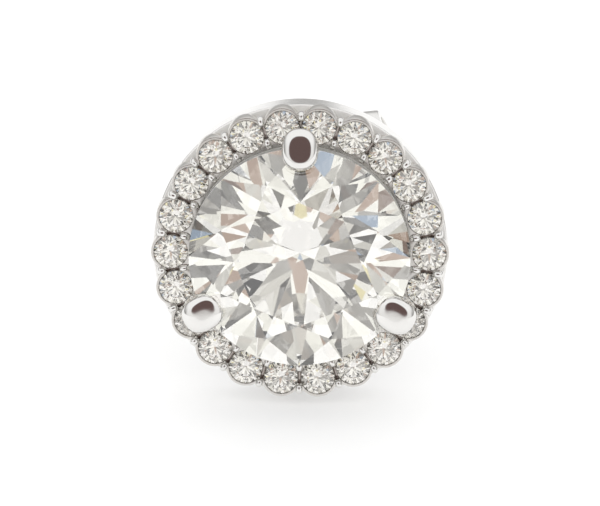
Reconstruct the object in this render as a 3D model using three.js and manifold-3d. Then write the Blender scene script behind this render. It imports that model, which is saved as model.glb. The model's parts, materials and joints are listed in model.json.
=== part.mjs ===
// Stud earring: a round brilliant in a three-prong martini basket, ringed by a halo of small brilliants,
// on a straight post with a butterfly clutch. Millimetres, +Z up.
//
// The earring is modelled in its own axes, with local +Z out of the face, local +Y toward twelve o'clock and
// z = 0 on the front metal of the halo. The last group leans it back until the halo's rear edge and the clutch
// plate's rear edge both lie on the surface below.

import * as THREE from 'three';
import { mergeVertices } from 'three/addons/utils/BufferGeometryUtils.js';
import Module from 'manifold-3d';

const wasm = await Module();
wasm.setup();

// Centre stone
const CENTRE_DIAMETER = 6.5;
const CENTRE_GIRDLE = 0.16;
const CENTRE_LIFT = 0.45; // underside of its girdle above the halo's front metal

// Halo stones
const HALO_STONE_DIAMETER = 0.98;
const HALO_STONE_GIRDLE = 0.05;
const HALO_STONE_SINK = 0.02; // top of its girdle below the halo's front metal
const HALO_STONE_SPACING = 0.09; // least gap between neighbours
const HALO_TO_CENTRE = 0.055; // gap between the two stones' edges, seen from the front

// Proportions of a round brilliant
const TABLE_RATIO = 0.57;
const CROWN_ANGLE = 34.5;
const PAVILION_ANGLE = 40.75;
const STAR_RATIO = 0.5;
const LOWER_HALF_RATIO = 0.78;
const MAINS = 8;

// Halo ring
const STONE_CLEARANCE = 0.03;
const SCALLOP_RIM = 0.06;
const COLLAR_DEPTH = 0.6;
const BASE_RIM = 0.015; // smooth ring outside the small stones' seats
const LIP_WALL = 0.195; // metal inside those seats
const RING_DEPTH = 1.5;
const LIP_CHAMFER = 0.14;
const DRILL_DIAMETER = 0.52;
const CUT_WIDTH = 0.12;
const CUT_DEPTH = 0.25;
const BEAD_RADIUS = 0.115;
const BEAD_HEIGHT = 0.15;
const BEAD_OFFSET = 0.335; // each side of the stones' pitch circle

// Prongs and basket
const PRONGS = 3;
const TIP_LENGTH = 1.28;
const TIP_WIDTH = 1.08;
const TIP_HEIGHT = 1.04;
const STEM_RADIUS = 0.33;
const ARM_RADIUS = 0.4;
const BASE_RADIUS = 0.8;
const BASE_HEIGHT = 0.85;
const CULET_CLEARANCE = 0.4;

// Post
const POST_RADIUS = 0.45;
const POST_LENGTH = 9.5;
const GROOVE_FROM_TIP = 1.6;
const GROOVE_WIDTH = 0.4;
const GROOVE_DEPTH = 0.1;

// Clutch
const PLATE_RADIUS = 2.9;
const PLATE_THICKNESS = 0.3;
const PLATE_FROM_FACE = 7.75;
const POST_CLEARANCE = 0.05;
const STRIP_THICKNESS = 0.25;
const SCROLL_RADIUS = 1.0;
const CURL_SWEEP = 145;
const WING_REACH = 2.12;
const WING_HALF_WIDTH = 2.42;
const WING_TAPER = 18;
const CLUTCH_ROLL = 7;

// Fineness of the facets
const CENTRE_GIRDLE_STEPS = 2;
const HALO_GIRDLE_STEPS = 1;
const RING_SIDES = 64;
const POST_SIDES = 20;
const PLATE_SIDES = 48;
const SEAT_SIDES = 2 * MAINS;
const BEAD_SIDES = 8;
const WIRE_STEPS = 5;
const SCALLOP_STEPS = 3;
const CURL_STEPS = 5;
const TIP_SIDES = 14;
const TIP_RINGS = 8;
const KNUCKLE_SIDES = 10;
const KNUCKLE_RINGS = 6;

// How far joined metal runs into its neighbour, and how far a cutter runs past what it cuts
const OVERLAP = 0.1;

const rad = THREE.MathUtils.degToRad;

// Sizes that follow from the ones above
const CENTRE_RADIUS = CENTRE_DIAMETER / 2;
const HALO_STONE_RADIUS = HALO_STONE_DIAMETER / 2;
const HALO_PITCH = CENTRE_RADIUS + HALO_TO_CENTRE + HALO_STONE_RADIUS;
const HALO_HALF_STEP = Math.asin((HALO_STONE_DIAMETER + HALO_STONE_SPACING) / (2 * HALO_PITCH));
const HALO_COUNT = Math.floor(Math.PI / HALO_HALF_STEP);
const HALO_STEP = 2 * Math.PI / HALO_COUNT;
const SEAT_RADIUS = HALO_STONE_RADIUS + STONE_CLEARANCE;
const RING_INNER_RADIUS = HALO_PITCH - SEAT_RADIUS - LIP_WALL;
const BASE_RING_RADIUS = HALO_PITCH + SEAT_RADIUS + BASE_RIM;
const CENTRE_Z = CENTRE_LIFT + CENTRE_GIRDLE / 2;
const HALO_STONE_Z = -HALO_STONE_SINK - HALO_STONE_GIRDLE / 2;
const CULET_Z = CENTRE_LIFT - CENTRE_RADIUS * Math.tan(rad(PAVILION_ANGLE));
const BASE_TOP = CULET_Z - CULET_CLEARANCE;
const BASE_BOTTOM = BASE_TOP - BASE_HEIGHT;
const POST_END = BASE_BOTTOM - POST_LENGTH;
const PLATE_BACK = -PLATE_FROM_FACE - PLATE_THICKNESS;
const BORE_RADIUS = POST_RADIUS + POST_CLEARANCE;
const CURL_RADIUS = WING_REACH - SCROLL_RADIUS - BORE_RADIUS; // curls back to the bore

// Turns a closed geometry into a solid that can be cut and joined.
function solid(geometry) {
  const bare = geometry.clone();
  bare.deleteAttribute('normal');
  bare.deleteAttribute('uv');
  const merged = mergeVertices(bare, 1e-5);
  return new wasm.Manifold(new wasm.Mesh({
    numProp: 3,
    vertProperties: new Float32Array(merged.attributes.position.array),
    triVerts: new Uint32Array(merged.index.array),
  }));
}

// Turns a solid back into a geometry.
function surface(body) {
  const mesh = body.getMesh();
  const geometry = new THREE.BufferGeometry();
  geometry.setAttribute('position', new THREE.BufferAttribute(new Float32Array(mesh.vertProperties), 3));
  geometry.setIndex(new THREE.BufferAttribute(new Uint32Array(mesh.triVerts), 1));
  geometry.computeVertexNormals();
  return geometry;
}

// Point at a clock angle, clockwise from twelve as seen from the front.
function clock(angle, radius, z) {
  return new THREE.Vector3(radius * Math.sin(angle), radius * Math.cos(angle), z);
}

// Turned shape about local Z. The profile runs from the rear to the front, and a flat side faces down.
function turned(profile, sides) {
  const points = profile.map(([radius, z]) => new THREE.Vector2(radius, z));
  return new THREE.LatheGeometry(points, sides, Math.PI / sides).rotateX(Math.PI / 2);
}

// Radius to the corners of a polygon whose flats lie at the given radius.
function cornerRadius(flatRadius, sides) {
  return flatRadius / Math.cos(Math.PI / sides);
}

// Height, at a point, of the plane through three others.
function planeHeight(x, y, a, b, c) {
  const normal = b.clone().sub(a).cross(c.clone().sub(a));
  return a.z - (normal.x * (x - a.x) + normal.y * (y - a.y)) / normal.z;
}

// One of the 16 half facets beside the girdle, as a row of points along the girdle from one main to the next.
function girdleRow(inner, start, end, radius, steps) {
  const row = [];
  for (let i = 0; i <= steps; i += 1) {
    const angle = THREE.MathUtils.lerp(start, end, i / steps);
    const from = clock(start, radius, inner.edge);
    const to = clock(end, radius, inner.edge);
    const point = clock(angle, radius, inner.edge);
    point.z = planeHeight(point.x, point.y, inner.point, from, to);
    row.push(point);
  }
  return row;
}

// Round brilliant with a table, 8 stars, 8 kites, 32 halves and 8 pavilion mains, centred on its girdle.
function brilliant(diameter, girdle, steps) {
  const radius = diameter / 2;
  const halfMain = Math.PI / MAINS;
  const crownSlope = Math.tan(rad(CROWN_ANGLE));
  const pavilionSlope = Math.tan(rad(PAVILION_ANGLE));
  const top = girdle / 2;
  const bottom = -girdle / 2;
  const tableRadius = TABLE_RATIO * radius;
  const tableZ = top + (radius - tableRadius) * crownSlope;
  const tableFlat = tableRadius * Math.cos(halfMain);
  const starRadius = tableFlat + STAR_RATIO * (radius - tableFlat);
  const starZ = tableZ - (starRadius * Math.cos(halfMain) - tableRadius) * crownSlope;
  const lowerRadius = (1 - LOWER_HALF_RATIO) * radius;
  const lowerZ = bottom - (radius - lowerRadius * Math.cos(halfMain)) * pavilionSlope;
  const tableCentre = new THREE.Vector3(0, 0, tableZ);
  const culet = new THREE.Vector3(0, 0, bottom - radius * pavilionSlope);
  const triangles = [];
  const add = (a, b, c) => triangles.push(a, b, c);

  // The points run clockwise as seen from the front, so each triangle is given backward to face outward.
  for (let main = 0; main < MAINS; main += 1) {
    const here = 2 * main * halfMain;
    const between = here + halfMain;
    const next = here + 2 * halfMain;
    const corner = clock(here, tableRadius, tableZ);
    const nextCorner = clock(next, tableRadius, tableZ);
    const star = clock(between, starRadius, starZ);
    const priorStar = clock(here - halfMain, starRadius, starZ);
    const lower = clock(between, lowerRadius, lowerZ);
    const priorLower = clock(here - halfMain, lowerRadius, lowerZ);
    const crown = { point: star, edge: top };
    const pavilion = { point: lower, edge: bottom };
    add(tableCentre, nextCorner, corner);
    add(corner, nextCorner, star);
    add(corner, star, clock(here, radius, top));
    add(corner, clock(here, radius, top), priorStar);
    add(culet, priorLower, lower);
    add(lower, priorLower, clock(here, radius, bottom));
    for (const [start, end] of [[here, between], [between, next]]) {
      const upperRow = girdleRow(crown, start, end, radius, steps);
      const lowerRow = girdleRow(pavilion, start, end, radius, steps);
      for (let i = 0; i < steps; i += 1) {
        add(star, upperRow[i + 1], upperRow[i]);
        add(upperRow[i], upperRow[i + 1], lowerRow[i + 1]);
        add(upperRow[i], lowerRow[i + 1], lowerRow[i]);
        add(lower, lowerRow[i], lowerRow[i + 1]);
      }
    }
  }
  const geometry = new THREE.BufferGeometry().setFromPoints(triangles);
  return mergeVertices(geometry, 1e-5);
}

// Centre stone with room all round it, used to clear metal from the stone.
function centreCutter() {
  const diameter = CENTRE_DIAMETER + 2 * STONE_CLEARANCE;
  const girdle = CENTRE_GIRDLE + 2 * STONE_CLEARANCE;
  return solid(brilliant(diameter, girdle, CENTRE_GIRDLE_STEPS).translate(0, 0, CENTRE_Z));
}

// Outline of the halo's front: one arc round each stone, meeting in valleys between them.
function scallopedOutline() {
  const arcRadius = SEAT_RADIUS + SCALLOP_RIM;
  const halfChord = HALO_PITCH * Math.sin(HALO_STEP / 2);
  const valley = HALO_PITCH * Math.cos(HALO_STEP / 2) + Math.sqrt(arcRadius ** 2 - halfChord ** 2);
  const valleySide = valley * Math.sin(HALO_STEP / 2);
  const valleyOut = valley * Math.cos(HALO_STEP / 2) - HALO_PITCH;
  const halfSweep = Math.atan2(valleySide, valleyOut);
  const outline = new THREE.Shape();
  for (let i = HALO_COUNT - 1; i >= 0; i -= 1) {
    const angle = (i + 0.5) * HALO_STEP;
    const centre = clock(angle, HALO_PITCH, 0);
    const out = Math.PI / 2 - angle;
    outline.absarc(centre.x, centre.y, arcRadius, out - halfSweep, out + halfSweep, false);
  }
  return outline;
}

// Seat for one halo stone: a straight wall to the girdle, the pavilion's cone and a drilled hole to the rear.
function seatCutter() {
  const wall = SEAT_RADIUS;
  const drill = DRILL_DIAMETER / 2;
  const wallEnd = -HALO_STONE_SINK - HALO_STONE_GIRDLE - STONE_CLEARANCE;
  const coneEnd = wallEnd - (wall - drill) * Math.tan(rad(PAVILION_ANGLE));
  const profile = [
    [0, -RING_DEPTH - OVERLAP],
    [drill, -RING_DEPTH - OVERLAP],
    [drill, coneEnd],
    [wall, wallEnd],
    [wall, OVERLAP],
    [0, OVERLAP],
  ];
  return solid(new THREE.LatheGeometry(
    profile.map(([radius, z]) => new THREE.Vector2(radius, z)),
    SEAT_SIDES,
  ).rotateX(Math.PI / 2));
}

// Bead raised between two stones: a short column with a domed top.
function bead() {
  const domeStart = BEAD_HEIGHT - BEAD_RADIUS;
  const shoulder = BEAD_RADIUS * Math.cos(rad(45));
  const profile = [
    [0, -CUT_DEPTH - OVERLAP],
    [BEAD_RADIUS, -CUT_DEPTH - OVERLAP],
    [BEAD_RADIUS, domeStart],
    [shoulder, domeStart + shoulder],
    [0, BEAD_HEIGHT],
  ];
  return solid(turned(profile, BEAD_SIDES));
}

// Ring of the halo, with seats, the cuts between stones and the inner lip.
function haloRing() {
  const collarShape = scallopedOutline();
  const bore = new THREE.Path();
  bore.absarc(0, 0, RING_INNER_RADIUS, 0, 2 * Math.PI, true);
  collarShape.holes.push(bore);
  const collar = new THREE.ExtrudeGeometry(collarShape, {
    depth: COLLAR_DEPTH,
    bevelEnabled: false,
    curveSegments: SCALLOP_STEPS,
  }).translate(0, 0, -COLLAR_DEPTH);
  const outer = cornerRadius(BASE_RING_RADIUS, RING_SIDES);
  const base = turned([
    [0, -RING_DEPTH],
    [outer, -RING_DEPTH],
    [outer, OVERLAP - COLLAR_DEPTH],
    [0, OVERLAP - COLLAR_DEPTH],
  ], RING_SIDES);
  const inner = turned([
    [0, -RING_DEPTH - OVERLAP],
    [RING_INNER_RADIUS, -RING_DEPTH - OVERLAP],
    [RING_INNER_RADIUS, -LIP_CHAMFER],
    [RING_INNER_RADIUS + LIP_CHAMFER + OVERLAP, OVERLAP],
    [0, OVERLAP],
  ], RING_SIDES);
  let ring = solid(collar).add(solid(base)).subtract(solid(inner));
  const seat = seatCutter();
  const cutLength = 2 * BEAD_OFFSET;
  const cut = solid(new THREE.BoxGeometry(CUT_WIDTH, cutLength, 2 * CUT_DEPTH));
  for (let i = 0; i < HALO_COUNT; i += 1) {
    const stoneAngle = (i + 0.5) * HALO_STEP;
    const seatPlace = clock(stoneAngle, HALO_PITCH, 0);
    ring = ring.subtract(placed(seat, seatPlace, stoneAngle));
    const cutAngle = i * HALO_STEP;
    const cutPlace = clock(cutAngle, HALO_PITCH * Math.cos(HALO_STEP / 2), 0);
    ring = ring.subtract(placed(cut, cutPlace, cutAngle));
  }
  return ring;
}

// Copy of a solid turned to a clock angle and moved to a place.
function placed(body, place, angle) {
  return solid(surface(body).rotateZ(-angle).translate(place.x, place.y, place.z));
}

// Beads on both sides of every gap between halo stones.
function beadPlaces() {
  const middle = HALO_PITCH * Math.cos(HALO_STEP / 2);
  const places = [];
  for (let i = 0; i < HALO_COUNT; i += 1) {
    places.push([i * HALO_STEP, middle - BEAD_OFFSET]);
    places.push([i * HALO_STEP, middle + BEAD_OFFSET]);
  }
  return places;
}

// Straight round wire between two points.
function wire(from, to, radius) {
  const section = new THREE.Shape();
  section.absarc(0, 0, radius, 0, 2 * Math.PI, false);
  return solid(new THREE.ExtrudeGeometry(section, {
    extrudePath: new THREE.LineCurve3(from, to),
    steps: 1,
    bevelEnabled: false,
    curveSegments: WIRE_STEPS,
  }));
}

// One prong at a clock angle: rounded tip over the girdle, stem inside the ring and arm to the basket's base.
function prong(angle) {
  const stemReach = CENTRE_RADIUS - STEM_RADIUS;
  const tipBottom = -HALO_STONE_SINK + HALO_STONE_RADIUS * (1 - TABLE_RATIO) * Math.tan(rad(CROWN_ANGLE));
  const tipZ = tipBottom + 2 * STONE_CLEARANCE + TIP_HEIGHT / 2;
  const tip = new THREE.SphereGeometry(1, TIP_SIDES, TIP_RINGS)
    .rotateX(Math.PI / 2)
    .scale(TIP_WIDTH / 2, TIP_LENGTH / 2, TIP_HEIGHT / 2)
    .translate(0, CENTRE_RADIUS, tipZ)
    .rotateZ(-angle);
  const elbow = clock(angle, stemReach, -RING_DEPTH / 2);
  const stemTop = clock(angle, stemReach, tipZ);
  const foot = clock(angle, BASE_RADIUS / 3, (BASE_TOP + BASE_BOTTOM) / 2 + OVERLAP);
  const knuckle = new THREE.SphereGeometry(ARM_RADIUS, KNUCKLE_SIDES, KNUCKLE_RINGS)
    .translate(elbow.x, elbow.y, elbow.z);
  return solid(tip)
    .add(wire(elbow, stemTop, STEM_RADIUS))
    .add(wire(foot, elbow, ARM_RADIUS))
    .add(solid(knuckle));
}

// Base of the basket and the post behind it, with a groove near its rounded end.
function post() {
  const grooveEnd = POST_END + GROOVE_FROM_TIP;
  const grooveMiddle = grooveEnd + GROOVE_WIDTH / 2;
  const bevel = POST_RADIUS / 2;
  const shoulder = BASE_RADIUS - POST_RADIUS;
  return solid(turned([
    [0, POST_END],
    [POST_RADIUS - bevel, POST_END],
    [POST_RADIUS, POST_END + bevel],
    [POST_RADIUS, grooveEnd],
    [POST_RADIUS - GROOVE_DEPTH, grooveMiddle],
    [POST_RADIUS, grooveEnd + GROOVE_WIDTH],
    [POST_RADIUS, BASE_BOTTOM],
    [BASE_RADIUS, BASE_BOTTOM + shoulder],
    [BASE_RADIUS, BASE_TOP],
    [0, BASE_TOP],
  ], POST_SIDES));
}

// All the soldered metal, cleared from the centre stone.
function settingGeometry() {
  let metal = haloRing().add(post());
  const oneBead = bead();
  for (const [angle, radius] of beadPlaces()) {
    metal = metal.add(placed(oneBead, clock(angle, radius, 0), angle));
  }
  for (let i = 0; i < PRONGS; i += 1) {
    metal = metal.add(prong(2 * Math.PI * i / PRONGS));
  }
  return surface(metal.subtract(centreCutter()));
}

// Side view of one scroll: a flat root on the plate, a wide arc outward and a tighter curl back to the post.
function scrollShape() {
  const outer = WING_REACH - SCROLL_RADIUS;
  const root = PLATE_BACK + OVERLAP;
  const centreZ = root - SCROLL_RADIUS;
  const curlZ = centreZ - SCROLL_RADIUS + CURL_RADIUS;
  const curlOut = BORE_RADIUS + CURL_RADIUS;
  const curlEnd = rad(-90 - CURL_SWEEP);
  const back = rad(-90);
  const front = rad(90);
  const shape = new THREE.Shape();
  shape.moveTo(BORE_RADIUS, root);
  shape.lineTo(BORE_RADIUS, root - STRIP_THICKNESS);
  shape.lineTo(outer, root - STRIP_THICKNESS);
  shape.absarc(outer, centreZ, SCROLL_RADIUS - STRIP_THICKNESS, front, back, true);
  shape.absarc(curlOut, curlZ, CURL_RADIUS - STRIP_THICKNESS, back, curlEnd, true);
  shape.absarc(curlOut, curlZ, CURL_RADIUS, curlEnd, back, false);
  shape.absarc(outer, centreZ, SCROLL_RADIUS, back, front, false);
  shape.closePath();
  return shape;
}

// One wing: the scroll run across the plate, with its sides cut to a taper.
function wing(turn) {
  const halfWidthAtPost = WING_HALF_WIDTH + WING_REACH * Math.tan(rad(WING_TAPER));
  const beyond = WING_REACH + OVERLAP;
  const halfWidthBeyond = WING_HALF_WIDTH - OVERLAP * Math.tan(rad(WING_TAPER));
  const length = 2 * halfWidthAtPost;
  const scroll = new THREE.ExtrudeGeometry(scrollShape(), {
    depth: length,
    bevelEnabled: false,
    curveSegments: CURL_STEPS,
  });
  // The side view's axes are (outward, local Z). They become local Y and local Z, and the run becomes local X.
  const sideways = new THREE.Matrix4().makeBasis(
    new THREE.Vector3(0, 1, 0),
    new THREE.Vector3(0, 0, 1),
    new THREE.Vector3(1, 0, 0),
  );
  scroll.translate(0, 0, -length / 2).applyMatrix4(sideways);
  const taper = new THREE.Shape();
  taper.moveTo(-halfWidthAtPost, 0);
  taper.lineTo(halfWidthAtPost, 0);
  taper.lineTo(halfWidthBeyond, beyond);
  taper.lineTo(-halfWidthBeyond, beyond);
  taper.closePath();
  const depth = 2 * SCROLL_RADIUS + PLATE_THICKNESS;
  const cutter = new THREE.ExtrudeGeometry(taper, { depth, bevelEnabled: false })
    .translate(0, 0, PLATE_BACK + PLATE_THICKNESS - depth);
  const oneWing = solid(scroll).intersect(solid(cutter));
  return placed(oneWing, clock(0, 0, 0), turn);
}

// Butterfly clutch about the post's axis: a round plate with two scrolls behind it and a bore through all.
function clutchGeometry() {
  const outer = cornerRadius(PLATE_RADIUS, PLATE_SIDES);
  const front = PLATE_BACK + PLATE_THICKNESS;
  const plate = turned([
    [0, PLATE_BACK],
    [outer, PLATE_BACK],
    [outer, front],
    [0, front],
  ], PLATE_SIDES).rotateZ(-rad(CLUTCH_ROLL));
  const boreSize = cornerRadius(BORE_RADIUS, POST_SIDES);
  const boreEnd = PLATE_BACK - 2 * SCROLL_RADIUS - OVERLAP;
  const bore = turned([
    [0, boreEnd],
    [boreSize, boreEnd],
    [boreSize, front + OVERLAP],
    [0, front + OVERLAP],
  ], POST_SIDES).rotateZ(-rad(CLUTCH_ROLL));
  const body = solid(plate).add(wing(0)).add(wing(Math.PI)).subtract(solid(bore));
  return surface(body);
}

const whiteGold = new THREE.MeshStandardMaterial({
  color: 0xd8d5cf,
  roughness: 0.12,
  metalness: 1,
  flatShading: true,
});
const diamond = new THREE.MeshStandardMaterial({
  color: 0xf4f5f7,
  roughness: 0.02,
  metalness: 0,
  flatShading: true,
});

// Named piece with a material of its own.
function piece(name, geometry, material) {
  const mesh = new THREE.Mesh(geometry, material.clone());
  mesh.name = name;
  return mesh;
}

const head = new THREE.Group();
head.add(piece('setting_with_post', settingGeometry(), whiteGold));
const centreGeometry = brilliant(CENTRE_DIAMETER, CENTRE_GIRDLE, CENTRE_GIRDLE_STEPS);
const centreStone = piece('centre_stone', centreGeometry, diamond);
centreStone.position.z = CENTRE_Z;
head.add(centreStone);
for (let i = 0; i < HALO_COUNT; i += 1) {
  const angle = (i + 0.5) * HALO_STEP;
  const name = `halo_stone_${String(i + 1).padStart(2, '0')}`;
  const geometry = brilliant(HALO_STONE_DIAMETER, HALO_STONE_GIRDLE, HALO_GIRDLE_STEPS);
  const stone = piece(name, geometry, diamond);
  stone.position.copy(clock(angle, HALO_PITCH, HALO_STONE_Z));
  stone.rotation.z = -angle;
  head.add(stone);
}

const clutch = new THREE.Group();
clutch.add(piece('butterfly_clutch', clutchGeometry(), whiteGold));
clutch.rotation.z = rad(CLUTCH_ROLL);

// The halo's rear edge and the plate's rear edge lie on one plane, which gives the lean of the post.
const lean = Math.atan2(BASE_RING_RADIUS - PLATE_RADIUS, -PLATE_BACK - RING_DEPTH);
const earring = new THREE.Group();
earring.add(head, clutch);
earring.rotation.x = Math.PI / 2 - lean;
earring.updateMatrixWorld(true);
const box = new THREE.Box3().setFromObject(earring, true);
const middle = box.getCenter(new THREE.Vector3());
earring.position.set(-middle.x, -middle.y, -box.min.z);

const stud = new THREE.Group();
stud.add(earring);

export default stud;
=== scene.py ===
"""Stud earring with a halo: the fine surfaces, finishes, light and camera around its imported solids."""

import json
import math

import bmesh
import bpy
import numpy as np
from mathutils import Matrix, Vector


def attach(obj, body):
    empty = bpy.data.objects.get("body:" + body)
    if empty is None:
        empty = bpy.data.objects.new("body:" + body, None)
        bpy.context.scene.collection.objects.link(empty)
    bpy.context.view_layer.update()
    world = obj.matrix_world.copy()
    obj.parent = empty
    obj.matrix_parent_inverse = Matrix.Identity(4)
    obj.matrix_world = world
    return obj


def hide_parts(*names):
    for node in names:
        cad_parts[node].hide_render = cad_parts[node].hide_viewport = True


bl_info = {
    "name": "Halo Stud Earring",
    "version": (1, 0, 0),
    "blender": (4, 5, 0),
    "location": "3D View > Sidebar > Earring",
    "description": "Builds the stones, setting, clutch and studio of a halo stud earring",
    "category": "Object",
}

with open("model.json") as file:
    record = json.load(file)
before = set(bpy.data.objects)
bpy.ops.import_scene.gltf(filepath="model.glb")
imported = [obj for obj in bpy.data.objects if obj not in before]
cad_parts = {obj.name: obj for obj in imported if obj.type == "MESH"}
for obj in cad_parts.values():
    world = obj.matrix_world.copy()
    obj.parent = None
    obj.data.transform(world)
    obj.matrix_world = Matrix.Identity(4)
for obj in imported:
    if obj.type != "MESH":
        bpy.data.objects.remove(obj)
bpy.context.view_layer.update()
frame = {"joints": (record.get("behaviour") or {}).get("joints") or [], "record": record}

MM = 0.001
MERGE = 1e-7
REAR_FACE_DEPTH = 1.5
REAR_MOUNT_RADIUS = 3.7
DIAMOND_IOR = 2.417
WHITE = (1, 1, 1)
MOSAIC_SCALE = 4.6
SENSOR_WIDTH = 36

# Body, node and slot of the pieces of the soldered metal and of the clutch.
SETTING_METAL = ("stud", "setting_with_post", "white_gold")
CLUTCH_METAL = ("clutch", "butterfly_clutch", "white_gold")

# Main facets of a stone, and points along the edge of each half facet of a large and of a small one.
MAINS = 8
CENTRE_STEPS = 6
HALO_STEPS = 2

# Points along one small stone's cell of the scalloped front, and round the smooth ring.
SCALLOP_POINTS = 25
SIDE_POINTS = 13
LIP_POINTS = 13
RING_STEPS = 256

# Where the world's tones begin and are full: heights from -1 to 1, and cosines from the camera's direction.
SKY_HEIGHTS = (-0.2, 0.6)
WALL_HEIGHTS = (0.55, 0.05)
WALL_COSINES = (0.75, 0.3)

# The tones that the stones pass on: where each begins in the mosaic, from 0 to 1, and its colour.
MOSAIC_TONES = [
    (0.0, (0.87, 0.865, 0.805)),
    (0.3, (0.6, 0.59, 0.55)),
    (0.42, (0.29, 0.28, 0.26)),
    (0.62, (0.07, 0.066, 0.06)),
    (0.73, (0.42, 0.3, 0.23)),
    (0.81, (0.36, 0.45, 0.58)),
    (0.86, (0.85, 0.78, 0.45)),
    (0.89, (0.2, 0.13, 0.1)),
    (0.93, (1.05, 1.05, 1.0)),
]

# The earring's own axes: x to the right, y toward twelve o'clock, z out of the face, in millimetres from the
# middle of the halo's front metal.
face_out = -np.array(frame["joints"][0]["axis"], float)
face_right = np.array([1.0, 0.0, 0.0])
face_up = np.cross(face_out, face_right)
earring_axes = np.array([face_right, face_up, face_out])
rear_mount = next(m for m in frame["record"]["mounts"] if m["name"] == "rear_face_of_halo")
face_origin = (
    np.array(rear_mount["pos_m"], float)
    - REAR_MOUNT_RADIUS * MM * face_up
    + REAR_FACE_DEPTH * MM * face_out
)


def size(name, description, millimetres):
    """A length that a user can change, kept in metres."""
    return bpy.props.FloatProperty(
        name=name, description=description, default=millimetres * MM, unit="LENGTH", precision=6
    )


def angle(name, description, degrees):
    """An angle that a user can change, kept in radians."""
    return bpy.props.FloatProperty(
        name=name, description=description, default=math.radians(degrees), unit="ROTATION"
    )


def share(name, description, value, high=1.0):
    """A plain number that a user can change."""
    return bpy.props.FloatProperty(name=name, description=description, default=value, min=0.0, max=high)


def colour(name, description, value):
    """A colour that a user can change."""
    return bpy.props.FloatVectorProperty(
        name=name, description=description, default=value, subtype="COLOR", size=3, min=0.0, max=1.0
    )


class StoneSizes(bpy.types.PropertyGroup):
    """Sizes and cut of the brilliants."""

    centre_diameter: size("Centre diameter", "Across the large stone", 6.5)
    centre_girdle: size("Centre girdle", "Thickness of the large stone's edge at its mains", 0.16)
    centre_lift: size("Centre lift", "Underside of the large stone's edge above the halo's face", 0.45)
    halo_diameter: size("Halo diameter", "Across a small stone", 0.98)
    halo_girdle: size("Halo girdle", "Thickness of a small stone's edge", 0.05)
    halo_sink: size("Halo sink", "Top of a small stone's edge below the halo's face", 0.02)
    halo_pitch: size("Halo pitch", "Radius of the circle through the small stones", 3.795)
    halo_count: bpy.props.IntProperty(name="Halo count", description="Small stones in the ring", default=22)
    table: share("Table", "Table corners' radius as a share of the stone's radius", 0.57)
    crown: angle("Crown angle", "Slope of the crown's mains", 34.5)
    pavilion: angle("Pavilion angle", "Slope of the pavilion's mains", 40.75)
    star: share("Star length", "How far the stars reach toward the edge", 0.5)
    lower_half: share("Lower half length", "How far the lower halves reach toward the point", 0.78)


class SettingSizes(bpy.types.PropertyGroup):
    """Sizes of the soldered metal."""

    clearance: size("Stone clearance", "Gap between a stone and its seat", 0.03)
    seat_gap: size("Seat gap", "Gap between a small stone and its seat", 0.01)
    rim: size("Scallop rim", "Metal outside a small stone's seat", 0.06)
    collar_depth: size("Collar depth", "Height of the scalloped front", 0.6)
    ring_radius: size("Ring radius", "Outside of the smooth ring", 4.33)
    ring_bore: size("Ring bore", "Inside of the ring", 3.08)
    ring_bevel: size("Ring bevel", "Rounding of the smooth ring's corners", 0.06)
    ring_overlap: size("Ring overlap", "How far the smooth ring reaches into the scalloped front", 0.03)
    lip: size("Inner lip", "Width of the polished slope inside the halo", 0.14)
    drill: size("Drill", "Across the hole behind a small stone", 0.52)
    cut_width: size("Cut width", "Across the cut between two small stones", 0.12)
    cut_depth: size("Cut depth", "Depth of the cut between two small stones", 0.2)
    bead_offset: size("Bead offset", "Bead's place each side of the small stones' circle", 0.335)
    bead_width: size("Bead width", "Across a bead, along the ring", 0.23)
    bead_length: size("Bead length", "Across a bead, toward the middle", 0.33)
    bead_height: size("Bead height", "Top of a bead above the halo's face", 0.17)
    bead_sink: size("Bead sink", "Root of a bead below the halo's face", 0.32)
    tip_width: size("Tip width", "Across a prong's tip", 1.08)
    tip_length: size("Tip length", "Along a prong's tip, toward the middle", 1.26)
    tip_height: size("Tip height", "Thickness of a prong's tip", 1.04)
    tip_lift: size("Tip lift", "Underside of a prong's tip above the halo's face", 0.185)
    top_lean: angle("Top tip's lean", "Turn of the top prong's tip outward", 12)
    low_lean: angle("Low tips' lean", "Turn of the other prongs' tips outward", -2)
    stem: size("Stem radius", "Prong's wire beside the halo", 0.33)
    arm: size("Arm radius", "Prong's wire under the stone", 0.4)
    culet_gap: size("Culet gap", "Stone's point above the basket's foot", 0.4)
    base_radius: size("Base radius", "Foot of the basket", 0.8)
    base_height: size("Base height", "Length of the basket's foot", 0.85)
    post_radius: size("Post radius", "Half the post's thickness", 0.45)
    post_length: size("Post length", "Post behind the basket", 9.5)
    groove_place: size("Groove place", "Groove's distance from the post's tip", 1.6)
    groove_width: size("Groove width", "Along the post", 0.4)
    groove_depth: size("Groove depth", "Into the post", 0.1)
    metal: colour("Metal", "Plated white gold", (0.84, 0.83, 0.81))
    polish: share("Roughness", "Roughness of the polished metal", 0.07)


class ClutchSizes(bpy.types.PropertyGroup):
    """Sizes of the butterfly clutch."""

    plate_radius: size("Plate radius", "Outside of the round plate", 2.9)
    plate_thickness: size("Plate thickness", "Thickness of the plate", 0.3)
    plate_place: size("Plate place", "Plate's front behind the halo's face", 7.75)
    bore: size("Bore radius", "Hole round the post", 0.5)
    strip: size("Strip thickness", "Thickness of the scrolled strip", 0.25)
    scroll: size("Scroll radius", "Outside of the wide arc", 1.0)
    curl: size("Curl radius", "Outside of the tight curl", 0.62)
    curl_sweep: angle("Curl sweep", "Turn of the tight curl", 145)
    reach: size("Wing reach", "Outermost line of a wing from the post's axis", 2.12)
    half_width: size("Wing half width", "Half the wing's width at its outermost line", 2.42)
    taper: angle("Wing taper", "Slope of a wing's side", 18)
    roll: angle("Clutch roll", "Turn of the clutch about the post", 7)


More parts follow.
